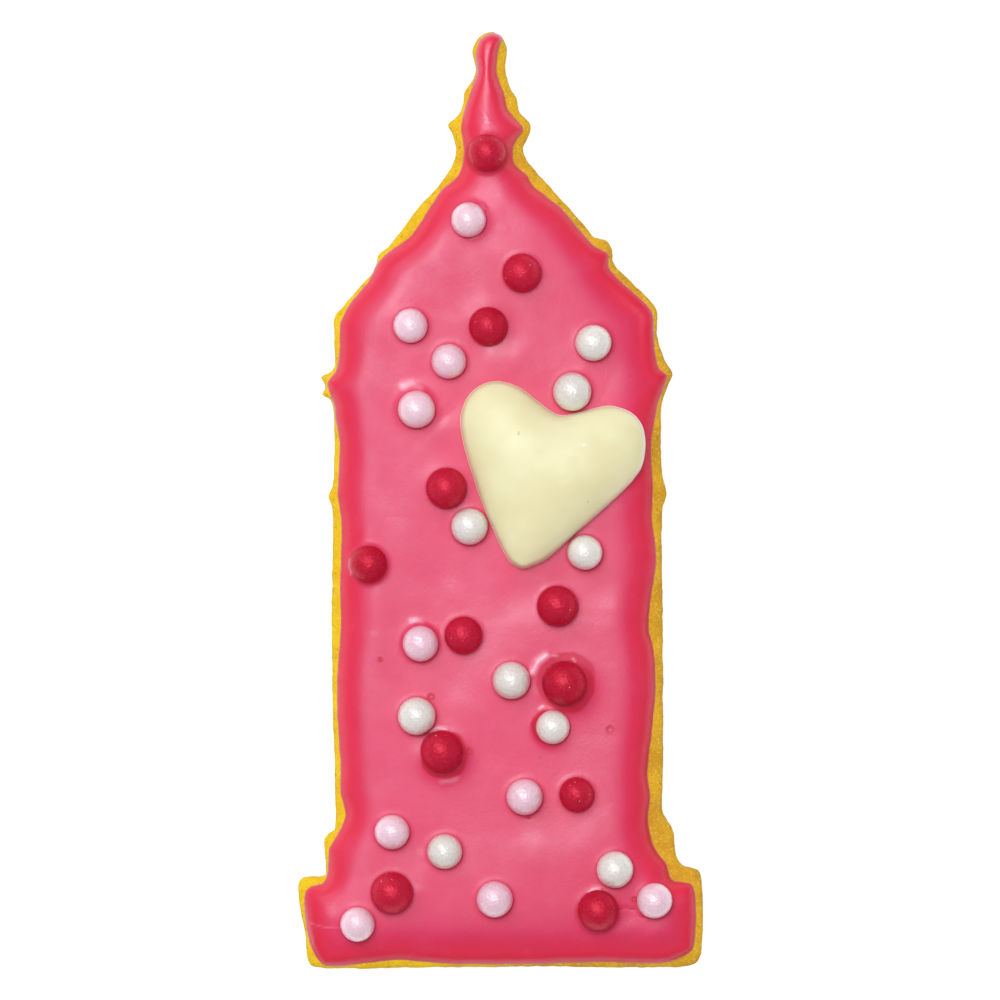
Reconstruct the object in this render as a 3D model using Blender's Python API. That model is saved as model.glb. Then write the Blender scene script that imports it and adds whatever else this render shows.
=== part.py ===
"""Iced sugar cookie: a hand-cut tower with a steeple, flooded with icing and set with a candy
heart and sugar pearls.

The cookie lies flat with its iced side up. +Z is up, the steeple points along +Y, and the
origin is the middle of its footprint, on the surface that it rests on. Sizes are in
millimetres and become metres where vertices and objects are made.
"""

import math

import bmesh
import bpy
import numpy as np
from mathutils import Vector
from mathutils.geometry import delaunay_2d_cdt

MM = 0.001

# Heights above the resting surface. Pieces that touch keep GAP between them.
GAP = 0.3
BISCUIT_TOP = 6.0
ICING_BASE = BISCUIT_TOP + GAP
ICING_THICKNESS = 2.0
ICING_TOP = ICING_BASE + ICING_THICKNESS
HEART_BASE = ICING_TOP + GAP
HEART_THICKNESS = 4.2

# How far each edge takes to round over, measured inwards from the outline.
BISCUIT_EDGE_WIDTH = 0.9
BISCUIT_EDGE_DROP = 0.45
BISCUIT_HEEL = 0.35
ICING_RIM_WIDTH = 2.3
HEART_RIM_WIDTH = 3.6
HEART_FOOT = 0.5

# How deep the pearls sit in the icing.
PEARL_SINK = 1.2
DEEP_PEARL_SINK = 1.5
PEARL_SEGMENTS = 10
PEARL_RINGS = 7

CURVE_STEPS = 2
RIDGE_STEP = 1.5

# Outlines run clockwise from the lower left corner. x is measured from the middle of the
# base block and y from the bottom edge, before the footprint is centred on the origin.
BISCUIT_OUTLINE = (
    # Left side of the base block and the step up to the wall.
    (-20.8, 0.05), (-21.35, 0.5), (-21.75, 3.5), (-22.5, 9.1), (-22.05, 9.8), (-20.1, 10.0),
    (-19.45, 10.25), (-19.5, 12.0), (-19.6, 14.2), (-19.1, 14.85), (-18.5, 15.2),
    # Left wall, with one bump and two teeth below the eave.
    (-18.4, 18.0), (-18.65, 28.0), (-18.8, 39.0), (-18.65, 50.0), (-18.7, 51.2), (-19.15, 52.35),
    (-18.7, 53.6), (-18.5, 59.0), (-18.65, 62.3), (-19.1, 63.4), (-19.85, 63.7), (-19.5, 64.3),
    (-19.6, 65.0), (-19.95, 65.7), (-19.0, 66.2), (-18.45, 67.2), (-18.5, 72.2),
    # Left slope of the roof.
    (-17.8, 73.3), (-15.3, 76.1), (-14.0, 77.7), (-13.6, 79.3), (-12.6, 80.05), (-10.5, 82.7),
    (-8.6, 85.2), (-7.3, 86.5), (-5.3, 89.4), (-4.95, 91.2), (-5.5, 93.1), (-5.8, 93.75),
    # Steeple.
    (-5.0, 94.5), (-4.2, 95.6), (-4.0, 97.4), (-3.15, 98.7), (-2.75, 100.1), (-3.1, 101.9),
    (-2.4, 103.5), (-0.95, 104.1), (0.1, 103.4), (0.55, 102.2), (0.4, 100.0), (0.95, 98.0),
    (1.7, 96.5), (2.0, 95.2), (3.1, 94.0), (3.2, 93.1), (2.4, 91.3), (2.8, 89.9),
    # Right slope of the roof.
    (4.55, 87.75), (7.2, 84.9), (9.45, 82.3), (10.4, 81.2), (11.6, 80.9), (12.35, 79.8),
    (12.4, 78.5), (14.2, 76.5),
    (17.1, 73.5), (17.4, 72.6), (17.3, 70.5), (17.85, 68.5), (18.35, 67.2), (19.05, 66.1),
    # Right wall, with one bump, and the step down to the base block.
    (18.6, 64.9), (17.95, 63.2), (17.75, 60.0), (17.95, 54.3), (18.4, 52.7), (17.95, 51.2),
    (17.95, 40.0), (17.95, 20.0), (17.95, 17.2), (19.1, 15.2), (19.5, 12.3), (20.3, 11.15),
    (22.0, 10.7), (22.3, 9.0), (22.3, 2.0), (21.7, 0.5),
    # Bottom edge.
    (20.0, 0.1), (5.0, 0.1), (-10.0, 0.0),
)

ICING_OUTLINE = (
    (-19.7, 0.2), (-20.9, 1.7), (-21.5, 3.5), (-21.85, 8.2), (-21.2, 9.0), (-19.9, 9.4),
    (-19.35, 10.6), (-19.15, 13.2), (-18.0, 15.2), (-17.35, 17.0), (-17.9, 19.5), (-17.9, 22.5),
    (-18.25, 28.0), (-18.2, 33.5), (-17.85, 38.0), (-17.95, 42.0), (-17.8, 49.5), (-18.2, 52.5),
    (-18.0, 58.5), (-18.45, 61.0), (-18.6, 62.6), (-19.35, 65.0), (-18.4, 66.4), (-18.0, 69.0),
    (-17.9, 71.7), (-16.6, 74.2), (-14.9, 76.2), (-13.85, 78.2), (-12.7, 79.5), (-10.1, 81.4),
    (-8.3, 84.0), (-6.5, 86.7), (-4.9, 88.0), (-4.25, 90.0), (-4.2, 91.6), (-4.5, 93.4),
    (-3.6, 97.0), (-2.7, 99.6), (-2.85, 101.6), (-2.3, 103.3), (-0.95, 104.0), (0.15, 103.5),
    (-0.2, 102.2), (-0.45, 99.6), (0.3, 97.4), (0.9, 95.3), (2.5, 93.3), (1.5, 91.5), (1.5, 89.5),
    (3.0, 88.1), (3.5, 87.1), (6.6, 84.6), (10.4, 80.3), (11.95, 79.4), (12.1, 77.8),
    (14.8, 75.1), (16.8, 73.0), (17.05, 70.0), (17.6, 66.7), (18.5, 65.9), (17.6, 63.0),
    (16.75, 58.0), (16.95, 53.5), (16.85, 50.0), (17.35, 45.2), (16.85, 42.0), (16.5, 37.8),
    (17.0, 35.4), (17.25, 31.5), (16.8, 26.0), (16.35, 21.5), (16.65, 18.8), (16.4, 16.5),
    (17.1, 13.4), (18.4, 11.6), (19.1, 9.75), (21.2, 9.3), (21.7, 7.5), (21.6, 3.3), (21.3, 1.9),
    (19.8, 0.95), (17.5, 0.4), (12.0, 0.55), (3.0, 0.3), (-6.0, 0.35), (-11.5, 0.75), (-16.0, 0.3),
)

HEART_OUTLINE = (
    (2.3, 44.4), (1.0, 45.15), (-0.55, 48.0), (-2.35, 52.4), (-3.75, 56.7), (-4.5, 60.2),
    (-4.2, 62.5), (-2.7, 64.5), (-0.4, 65.2), (2.1, 64.45), (4.3, 62.8), (6.0, 61.6),
    (7.1, 61.4), (9.0, 61.8), (11.9, 62.45), (14.4, 61.75), (15.8, 60.0), (16.0, 57.3),
    (15.4, 55.2), (12.6, 52.1), (8.2, 48.2), (5.1, 45.45), (3.6, 44.7),
)

# Pearls of each colour: x, y and diameter.
PEARLS = {
    "red": (
        (-1.55, 90.6, 4.1), (2.3, 77.25, 4.25), (-1.45, 71.3, 4.25), (-6.1, 53.35, 4.5),
        (-14.7, 44.9, 4.05), (6.25, 40.25, 4.5), (-4.2, 37.0, 4.15), (7.0, 31.7, 4.9),
        (-6.6, 24.1, 4.65), (8.4, 19.3, 3.85), (-12.15, 8.4, 4.65), (10.75, 6.45, 4.5),
    ),
    "pink": (
        (-3.6, 83.1, 3.9), (-10.05, 71.35, 3.85), (-5.8, 67.4, 3.9), (-9.4, 62.05, 4.2),
        (-8.95, 36.05, 4.0), (2.6, 19.0, 4.05), (-12.1, 15.1, 3.9), (-0.7, 7.65, 4.05),
        (17.05, 7.5, 3.95), (-15.95, 4.85, 3.85),
    ),
    "white": (
        (10.25, 69.45, 4.05), (7.9, 64.0, 4.3), (-3.5, 49.05, 4.1), (9.3, 46.15, 3.9),
        (1.15, 31.95, 4.2), (-9.35, 28.0, 4.2), (5.75, 26.75, 3.8), (-6.25, 12.95, 3.9),
        (12.65, 10.95, 4.1),
    ),
}
DEEP_PEARLS = ("pearl_red_01", "pearl_red_05")

# Linear base colour and roughness of each material.
FINISHES = {
    "biscuit": ((0.80, 0.50, 0.07), 0.85),
    "icing": ((0.80, 0.08, 0.17), 0.35),
    "heart": ((0.90, 0.86, 0.62), 0.40),
    "pearl_red": ((0.50, 0.01, 0.03), 0.35),
    "pearl_pink": ((0.87, 0.58, 0.68), 0.25),
    "pearl_white": ((0.83, 0.80, 0.76), 0.25),
}


def smooth_loop(points):
    """Centripetal Catmull-Rom curve through a closed list of points."""
    points = np.array(points, dtype=float)
    count = len(points)
    curve = []
    for i in range(count):
        p0, p1, p2, p3 = (points[(i + k) % count] for k in (-1, 0, 1, 2))
        t1 = math.sqrt(np.linalg.norm(p1 - p0))
        t2 = t1 + math.sqrt(np.linalg.norm(p2 - p1))
        t3 = t2 + math.sqrt(np.linalg.norm(p3 - p2))
        for step in range(CURVE_STEPS):
            t = t1 + (t2 - t1) * step / CURVE_STEPS
            a1 = p0 + (p1 - p0) * t / t1
            a2 = p1 + (p2 - p1) * (t - t1) / (t2 - t1)
            a3 = p2 + (p3 - p2) * (t - t2) / (t3 - t2)
            b1 = a1 + (a2 - a1) * t / t2
            b2 = a2 + (a3 - a2) * (t - t1) / (t3 - t1)
            curve.append(b1 + (b2 - b1) * (t - t1) / (t2 - t1))
    return np.array(curve)


def footprint_centre():
    """Middle of the biscuit's bounding box, which becomes the origin."""
    edge = smooth_loop(BISCUIT_OUTLINE)
    return (edge.min(axis=0) + edge.max(axis=0)) / 2


def edge_distance(points, outline):
    """Distance from each point to the nearest stretch of the outline."""
    starts = outline[None, :, :]
    runs = np.roll(outline, -1, axis=0)[None, :, :] - starts
    offsets = points[:, None, :] - starts
    along = np.clip((offsets * runs).sum(axis=2) / (runs**2).sum(axis=2), 0.0, 1.0)
    return np.linalg.norm(offsets - along[:, :, None] * runs, axis=2).min(axis=1)


def is_inside(points, outline):
    """Even-odd test of each point against the outline."""
    x, y = points[:, 0:1], points[:, 1:2]
    x1, y1 = outline[:, 0], outline[:, 1]
    x2, y2 = np.roll(x1, -1), np.roll(y1, -1)
    rises = np.where(y2 == y1, 1.0, y2 - y1)
    crosses = ((y1 > y) != (y2 > y)) & (x < x1 + (y - y1) * (x2 - x1) / rises)
    return crosses.sum(axis=1) % 2 == 1


def inner_ring(outline, depth):
    """Outline points moved inwards by depth, without those that come too near another side."""
    tangents = np.roll(outline, -1, axis=0) - np.roll(outline, 1, axis=0)
    tangents /= np.linalg.norm(tangents, axis=1)[:, None]
    inward = np.column_stack((tangents[:, 1], -tangents[:, 0]))
    ring = outline + inward * depth
    keep = is_inside(ring, outline) & (edge_distance(ring, outline) > 0.93 * depth)
    return ring[keep]


def ridge_points(outline, rim_width):
    """Middle points of the rows where the shape is narrower than its two rims."""
    found = []
    for y in np.arange(outline[:, 1].min() + 1.0, outline[:, 1].max() - 1.0, RIDGE_STEP):
        nxt = np.roll(outline, -1, axis=0)
        cut = (outline[:, 1] > y) != (nxt[:, 1] > y)
        share = (y - outline[cut, 1]) / (nxt[cut, 1] - outline[cut, 1])
        crossings = outline[cut, 0] + share * (nxt[cut, 0] - outline[cut, 0])
        if len(crossings) == 2 and np.ptp(crossings) < 2.2 * rim_width:
            found.append((crossings.mean(), y))
    return np.array(found).reshape(-1, 2)


def grid_points(outline, step, margin):
    """Staggered grid over the shape, at least margin inside the outline."""
    low, high = outline.min(axis=0), outline.max(axis=0)
    rows = np.arange(low[1] + step / 2, high[1], step)
    grid = [
        (x + (row % 2) * step / 2, y)
        for row, y in enumerate(rows)
        for x in np.arange(low[0] + step / 2, high[0], step)
    ]
    grid = np.array(grid)
    keep = is_inside(grid, outline) & (edge_distance(grid, outline) > margin)
    return grid[keep]


def triangulated(outline, inner):
    """Triangles of the region inside the outline, with the inner points as corners."""
    points = [Vector(p) for p in np.vstack((outline, inner))]
    edges = [(i, (i + 1) % len(outline)) for i in range(len(outline))]
    inside_edges = 1
    points, _, triangles, *_ = delaunay_2d_cdt(points, edges, [], inside_edges, 1e-6)
    return np.array(points), triangles


def make_plate(name, outline, rings, grid_step, top, base, base_ring):
    """Closed body over an outline, whose top and base heights follow the distance from its edge.

    It has upright sides where the two heights differ at the edge. rings and base_ring are the
    depths at which the top and the base get more points.
    """
    edge = np.zeros(1)
    has_wall = top(edge)[0] - base(edge)[0] > 1e-6
    inner = [inner_ring(outline, depth) for depth in rings]
    inner.append(ridge_points(outline, rings[-1]))
    inner.append(grid_points(outline, grid_step, rings[-1] + 0.35 * grid_step))
    base_inner = inner_ring(outline, base_ring) if base_ring else np.empty((0, 2))
    bm = bmesh.new()

    def add_side(inner_points, height, upwards):
        points, triangles = triangulated(outline, inner_points)
        distances = edge_distance(points, outline)
        distances[: len(outline)] = 0.0
        verts = [
            bm.verts.new((p[0] * MM, p[1] * MM, z * MM))
            for p, z in zip(points, height(distances))
        ]
        for triangle in triangles:
            corners = [verts[i] for i in triangle]
            bm.faces.new(corners if upwards else corners[::-1])
        return verts[: len(outline)]

    upper = add_side(np.vstack(inner), top, True)
    lower = add_side(base_inner, base, False)
    if has_wall:
        for i in range(len(outline)):
            j = (i + 1) % len(outline)
            bm.faces.new((upper[i], upper[j], lower[j], lower[i]))
    else:
        bmesh.ops.remove_doubles(bm, verts=bm.verts, dist=1e-7)
    bmesh.ops.recalc_face_normals(bm, faces=bm.faces)
    mesh = bpy.data.meshes.new(name)
    bm.to_mesh(mesh)
    bm.free()
    mesh.shade_smooth()
    mesh.set_sharp_from_angle(angle=math.radians(40))
    return mesh


def rounded(distance, width):
    """Rise of a quarter-round edge, from 0 at the outline to 1 at width inside it."""
    share = np.clip(distance / width, 0.0, 1.0)
    return np.sqrt(1.0 - (1.0 - share) ** 2)


def biscuit_top(distance):
    return BISCUIT_TOP - BISCUIT_EDGE_DROP * (1.0 - rounded(distance, BISCUIT_EDGE_WIDTH))


def biscuit_base(distance):
    return BISCUIT_HEEL * (1.0 - rounded(distance, BISCUIT_HEEL))


def icing_top(distance):
    return ICING_BASE + ICING_THICKNESS * rounded(distance, ICING_RIM_WIDTH)


def icing_base(distance):
    return np.full_like(distance, ICING_BASE)


def heart_top(distance):
    dome = (HEART_THICKNESS - HEART_FOOT) * rounded(distance, HEART_RIM_WIDTH)
    return HEART_BASE + HEART_FOOT + dome


def heart_base(distance):
    return np.full_like(distance, HEART_BASE)


def make_material(name):
    colour, roughness = FINISHES[name]
    material = bpy.data.materials.new(name)
    material.use_nodes = True
    shader = material.node_tree.nodes["Principled BSDF"]
    shader.inputs["Base Color"].default_value = (*colour, 1.0)
    shader.inputs["Roughness"].default_value = roughness
    shader.inputs["Metallic"].default_value = 0.0
    return material


def make_sphere_mesh(name):
    """Round mesh of 1 mm radius, which every object that uses it scales to its own size."""
    bm = bmesh.new()
    bmesh.ops.create_uvsphere(bm, u_segments=PEARL_SEGMENTS, v_segments=PEARL_RINGS, radius=MM)
    mesh = bpy.data.meshes.new(name)
    bm.to_mesh(mesh)
    bm.free()
    mesh.shade_smooth()
    return mesh


def add_object(name, mesh, collection, parent, location=(0.0, 0.0, 0.0), scale=1.0):
    item = bpy.data.objects.new(name, mesh)
    item.location = Vector(location) * MM
    item.scale = (scale, scale, scale)
    item.parent = parent
    collection.objects.link(item)
    return item


def add_plates(collection, parent):
    """Biscuit, icing and heart, and the icing's object for its pockets."""
    centre = footprint_centre()
    biscuit = make_plate(
        "biscuit", smooth_loop(BISCUIT_OUTLINE) - centre, rings=(0.25, BISCUIT_EDGE_WIDTH),
        grid_step=9.0, top=biscuit_top, base=biscuit_base, base_ring=BISCUIT_HEEL,
    )
    icing = make_plate(
        "icing", smooth_loop(ICING_OUTLINE) - centre, rings=(0.12, 0.45, 1.0, 1.65, ICING_RIM_WIDTH),
        grid_step=5.0, top=icing_top, base=icing_base, base_ring=None,
    )
    heart = make_plate(
        "heart", smooth_loop(HEART_OUTLINE) - centre, rings=(0.25, 0.8, 1.7, 2.7, HEART_RIM_WIDTH),
        grid_step=3.5, top=heart_top, base=heart_base, base_ring=None,
    )
    for mesh in (biscuit, icing, heart):
        mesh.materials.append(make_material(mesh.name))
    add_object("biscuit", biscuit, collection, parent)
    add_object("heart", heart, collection, parent)
    return add_object("icing", icing, collection, parent)


def add_pearls(collection, cutters, parent):
    """Each pearl as its own object, and beside it the cutter of its pocket in the icing."""
    centre = footprint_centre()
    pocket = make_sphere_mesh("pocket")
    for colour, pearls in PEARLS.items():
        mesh = make_sphere_mesh(f"pearl_{colour}")
        mesh.materials.append(make_material(mesh.name))
        for number, (x, y, diameter) in enumerate(pearls, start=1):
            name = f"pearl_{colour}_{number:02d}"
            radius = diameter / 2
            sink = DEEP_PEARL_SINK if name in DEEP_PEARLS else PEARL_SINK
            place = (x - centre[0], y - centre[1], ICING_TOP + radius - sink)
            add_object(name, mesh, collection, parent, place, radius)
            cutter = add_object(f"{name}_pocket", pocket, cutters, parent, place, radius + GAP)
            cutter.hide_render = True
            cutter.display_type = "WIRE"


def cut_pockets(icing, cutters):
    pockets = icing.modifiers.new("pearl_pockets", "BOOLEAN")
    pockets.operation = "DIFFERENCE"
    pockets.solver = "EXACT"
    pockets.operand_type = "COLLECTION"
    pockets.collection = cutters


def main():
    for item in list(bpy.data.objects):
        bpy.data.objects.remove(item)
    scene = bpy.context.scene
    collection = bpy.data.collections.new("iced_sugar_cookie")
    cutters = bpy.data.collections.new("cutters")
    scene.collection.children.link(collection)
    scene.collection.children.link(cutters)
    parent = bpy.data.objects.new("cookie", None)
    collection.objects.link(parent)
    icing = add_plates(collection, parent)
    add_pearls(collection, cutters, parent)
    cut_pockets(icing, cutters)


main()
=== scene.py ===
"""Looks of the iced sugar cookie: crumb, flooded icing, candy heart and sugar pearls, built
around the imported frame. Lengths are in millimetres and become metres where meshes are made."""

import math

import bmesh
import bpy
import numpy as np
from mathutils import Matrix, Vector, noise
from mathutils.geometry import delaunay_2d_cdt


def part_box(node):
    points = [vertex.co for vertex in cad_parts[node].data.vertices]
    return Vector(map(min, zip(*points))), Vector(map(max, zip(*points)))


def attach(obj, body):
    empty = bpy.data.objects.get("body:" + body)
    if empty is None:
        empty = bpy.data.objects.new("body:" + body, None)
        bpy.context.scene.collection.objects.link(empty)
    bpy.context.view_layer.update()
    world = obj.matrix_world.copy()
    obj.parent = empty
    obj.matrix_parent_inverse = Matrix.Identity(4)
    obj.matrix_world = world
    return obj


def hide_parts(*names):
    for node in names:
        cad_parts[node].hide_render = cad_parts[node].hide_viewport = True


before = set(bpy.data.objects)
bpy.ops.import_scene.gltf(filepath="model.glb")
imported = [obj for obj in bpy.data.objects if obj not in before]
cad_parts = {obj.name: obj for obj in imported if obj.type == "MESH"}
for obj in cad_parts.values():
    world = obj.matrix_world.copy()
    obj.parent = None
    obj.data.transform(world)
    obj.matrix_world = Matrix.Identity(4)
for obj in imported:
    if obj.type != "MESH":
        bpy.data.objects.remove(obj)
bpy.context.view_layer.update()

MM = 0.001
BODY = "root"
INSIDE_EDGES = 1  # the triangulation's mode that keeps what lies inside the outline
SOFT_REACH = 12.0


# ---------------------------------------------------------------- shapes from the frame


def node_box(node):
    """Lowest and highest corner of a CAD node."""
    low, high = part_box(node)
    return np.array(low) / MM, np.array(high) / MM


def cad_outline(node):
    """The node's outline seen from above, counter-clockwise."""
    bm = bmesh.new()
    bm.from_mesh(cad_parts[node].data)
    bmesh.ops.remove_doubles(bm, verts=bm.verts, dist=1e-6)
    bm.normal_update()
    beside = {}
    for edge in bm.edges:
        if sum(face.normal.z > 0.01 for face in edge.link_faces) == 1:
            a, b = edge.verts
            beside.setdefault(a, []).append(b)
            beside.setdefault(b, []).append(a)
    start = max(beside, key=lambda vert: vert.co.y)
    loop, last, here = [start], None, start
    while True:
        ahead = [vert for vert in beside[here] if vert is not last]
        last, here = here, ahead[0]
        if here is start:
            break
        loop.append(here)
    points = np.array([(vert.co.x, vert.co.y) for vert in loop]) / MM
    bm.free()
    nxt = np.roll(points, -1, axis=0)
    area = (points[:, 0] * nxt[:, 1] - nxt[:, 0] * points[:, 1]).sum()
    return points if area > 0 else points[::-1]


def closed_curve(points, step):
    """Smooth closed curve through the points, resampled to a corner about every step."""
    p0, p1, p2, p3 = (np.roll(points, -k, axis=0) for k in (-1, 0, 1, 2))
    t1 = np.sqrt(np.linalg.norm(p1 - p0, axis=1))[:, None]
    t2 = t1 + np.sqrt(np.linalg.norm(p2 - p1, axis=1))[:, None]
    t3 = t2 + np.sqrt(np.linalg.norm(p3 - p2, axis=1))[:, None]
    parts = []
    for share in np.linspace(0.0, 1.0, 12, endpoint=False):
        t = t1 + (t2 - t1) * share
        a1 = p0 + (p1 - p0) * t / t1
        a2 = p1 + (p2 - p1) * (t - t1) / (t2 - t1)
        a3 = p2 + (p3 - p2) * (t - t2) / (t3 - t2)
        b1 = a1 + (a2 - a1) * t / t2
        b2 = a2 + (a3 - a2) * (t - t1) / (t3 - t1)
        parts.append(b1 + (b2 - b1) * (t - t1) / (t2 - t1))
    curve = np.stack(parts, axis=1).reshape(-1, 2)
    closed = np.vstack((curve, curve[:1]))
    travelled = np.concatenate(([0.0], np.linalg.norm(np.diff(closed, axis=0), axis=1).cumsum()))
    count = round(travelled[-1] / step)
    stops = np.linspace(0.0, travelled[-1], count, endpoint=False)
    return np.column_stack([np.interp(stops, travelled, closed[:, k]) for k in (0, 1)])


def inward_normals(outline):
    tangents = np.roll(outline, -1, axis=0) - np.roll(outline, 1, axis=0)
    tangents /= np.linalg.norm(tangents, axis=1)[:, None]
    return np.column_stack((-tangents[:, 1], tangents[:, 0]))


def depth_inside(points, outline):
    """How far inside the outline each point lies, negative outside it."""
    runs = np.roll(outline, -1, axis=0) - outline
    square = (runs**2).sum(axis=1)
    rises = np.where(runs[:, 1] == 0.0, 1.0, runs[:, 1])
    ends = outline[:, 1] + runs[:, 1]
    depths = []
    for some in np.array_split(points, max(1, len(points) // 3000)):
        offsets = some[:, None] - outline
        along = np.clip((offsets * runs).sum(axis=2) / square, 0.0, 1.0)
        gaps = np.linalg.norm(offsets - along[..., None] * runs, axis=2).min(axis=1)
        y = some[:, 1:2]
        crossed = (outline[:, 1] > y) != (ends > y)
        crossed &= some[:, 0:1] < outline[:, 0] + offsets[..., 1] * runs[:, 0] / rises
        depths.append(np.where(crossed.sum(axis=1) % 2 == 1, gaps, -gaps))
    return np.concatenate(depths)


def soft_depth(points, depth, outline, power):
    """Depth inside the outline without creases along its middle lines.

    A mean over all directions of the distance to the outline, raised to -power.
    """
    ends = np.roll(outline, -1, axis=0)
    flat_wall = math.sqrt(math.pi) * math.gamma((power + 1) / 2) / math.gamma(power / 2 + 1)
    inner = np.nonzero((depth > 0.3) & (depth < SOFT_REACH))[0]
    soft = depth.copy()
    for some in np.array_split(inner, max(1, len(inner) // 3000)):
        a = outline - points[some][:, None]
        b = ends - points[some][:, None]
        turn = np.arctan2(a[..., 0] * b[..., 1] - a[..., 1] * b[..., 0], (a * b).sum(axis=2))
        reach = np.linalg.norm((a + b) / 2, axis=2)
        soft[some] = (flat_wall / (turn / reach**power).sum(axis=1)) ** (1 / power)
    return depth + (soft - depth) * smoothstep(depth, 0.3, 0.8)


def ring_points(outline, ring_depths):
    """The outline moved inwards to each depth, without what comes too near another side."""
    rings = []
    for ring_depth in ring_depths:
        ring = outline + inward_normals(outline) * ring_depth
        rings.append(ring[depth_inside(ring, outline) > 0.95 * ring_depth])
    return np.vstack(rings)


def triangulate(points, edges):
    """Counter-clockwise triangles of the region inside the edges, as rows of point numbers."""
    made = delaunay_2d_cdt([Vector(p) for p in points], edges, [], INSIDE_EDGES, 1e-7)
    source = [origins[0] for origins in made[3]]
    triangles = np.array([[source[i] for i in triangle] for triangle in made[2]])
    a, b, c = (points[triangles[:, k]] for k in (0, 1, 2))
    turn = (b - a)[:, 0] * (c - a)[:, 1] - (b - a)[:, 1] * (c - a)[:, 0]
    triangles[turn < 0] = triangles[turn < 0][:, ::-1]
    return triangles


def loop_edges(count):
    return [(i, (i + 1) % count) for i in range(count)]


def cover(outline, step, ring_depths):
    """Flat net over an outline: squares of size step inside, and rings towards the edge.

    Gives its points, which start with the outline's own, their depths and its faces.
    """
    low, high = outline.min(axis=0) - step, outline.max(axis=0) + step
    xs, ys = np.arange(low[0], high[0], step), np.arange(low[1], high[1], step)
    grid = np.stack(np.meshgrid(xs, ys, indexing="ij"), axis=-1)
    grid_depth = depth_inside(grid.reshape(-1, 2), outline).reshape(grid.shape[:2])
    solid = grid_depth > ring_depths[-1] + 0.6 * step
    cells = solid[:-1, :-1] & solid[1:, :-1] & solid[:-1, 1:] & solid[1:, 1:]
    used = np.zeros_like(solid)
    for dx in (0, 1):
        for dy in (0, 1):
            used[dx : dx + cells.shape[0], dy : dy + cells.shape[1]] |= cells
    rim = np.vstack((outline, ring_points(outline, ring_depths)))
    number = np.full(solid.shape, -1)
    number[used] = len(rim) + np.arange(used.sum())
    i, j = np.nonzero(cells)
    squares = np.column_stack((number[i, j], number[i + 1, j], number[i + 1, j + 1], number[i, j + 1]))
    walled = np.pad(cells, 1)
    borders = []
    for open_side, (a, b) in (
        (~walled[:-2, 1:-1], ((0, 0), (0, 1))),
        (~walled[2:, 1:-1], ((1, 0), (1, 1))),
        (~walled[1:-1, :-2], ((0, 0), (1, 0))),
        (~walled[1:-1, 2:], ((0, 1), (1, 1))),
    ):
        i, j = np.nonzero(cells & open_side)
        borders.append(np.column_stack((number[i + a[0], j + a[1]], number[i + b[0], j + b[1]])))
    borders = np.vstack(borders)
    points = np.vstack((rim, grid[used]))
    kept = np.concatenate((np.arange(len(rim)), np.unique(borders)))
    place = np.full(len(points), -1)
    place[kept] = np.arange(len(kept))
    edges = loop_edges(len(outline)) + [tuple(edge) for edge in place[borders].tolist()]
    triangles = kept[triangulate(points[kept], edges)]
    middles = points[triangles].mean(axis=1)
    cell = np.floor((middles - low) / step).astype(int)
    triangles = triangles[~cells[cell[:, 0], cell[:, 1]]]
    depth = np.concatenate((depth_inside(rim, outline), grid_depth[used]))
    depth[: len(outline)] = 0.0
    return points, depth, squares.tolist() + triangles.tolist()


# ---------------------------------------------------------------- small helpers


def rounded(share):
    """Quarter-round rise from 0 to 1."""
    return np.sqrt(1.0 - (1.0 - np.clip(share, 0.0, 1.0)) ** 2)


def smoothstep(value, start, end):
    share = np.clip((value - start) / (end - start), 0.0, 1.0)
    return share * share * (3.0 - 2.0 * share)


def soft_noise(points, size, seed):
    """Smooth noise, about -1 to 1, whose bumps are about size across."""
    rows = np.column_stack((points / size, np.full((len(points), 3 - points.shape[1]), seed)))
    return np.array([noise.noise(row, noise_basis="PERLIN_NEW") for row in rows.tolist()])


def blob(points, centre, radius):
    """Bell-shaped weight round a place."""
    return np.exp(-((points - np.array(centre)) ** 2).sum(axis=1) / radius**2)


def nearest_on(points, path):
    """The place nearest to each point on a path of straight runs, or on a single place."""
    path = np.array(path)
    best = np.broadcast_to(path[0], points.shape).copy()
    for a, b in zip(path[:-1], path[1:]):
        run = b - a
        along = np.clip((points - a) @ run / (run @ run), 0.0, 1.0)
        found = a + along[:, None] * run
        closer = np.linalg.norm(points - found, axis=1) < np.linalg.norm(points - best, axis=1)
        best[closer] = found[closer]
    return best


def stroke(points, path, width):
    """Bell-shaped weight along a path."""
    gaps = np.linalg.norm(points - nearest_on(points, path), axis=1)
    return np.exp(-((gaps / width) ** 2))


def at_points(points, places):
    """1 at the mesh point nearest to each place, 0 elsewhere."""
    marks = np.zeros(len(points))
    for place in places:
        marks[np.argmin(np.linalg.norm(points - np.array(place), axis=1))] = 1.0
    return marks


def add_layer(mesh, name, values):
    """Stores a value for each point of the mesh."""
    layer = mesh.attributes.new(name, "FLOAT", "POINT")
    layer.data.foreach_set("value", np.asarray(values, dtype=np.float32))


def make_piece(name, points, faces, node_slot, replaced, sharp_angle, **layers):
    """Mesh object in place, with point attributes, that stands for CAD nodes."""
    mesh = bpy.data.meshes.new(name)
    mesh.from_pydata((np.asarray(points) * MM).tolist(), [], faces)
    mesh.validate()
    mesh.shade_smooth()
    mesh.set_sharp_from_angle(angle=math.radians(sharp_angle))
    for layer, values in layers.items():
        add_layer(mesh, layer, values)
    piece = bpy.data.objects.new(name, mesh)
    bpy.context.scene.collection.objects.link(piece)
    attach(piece, BODY)
    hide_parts(*replaced)
    return piece


# ---------------------------------------------------------------- pearls


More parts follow.
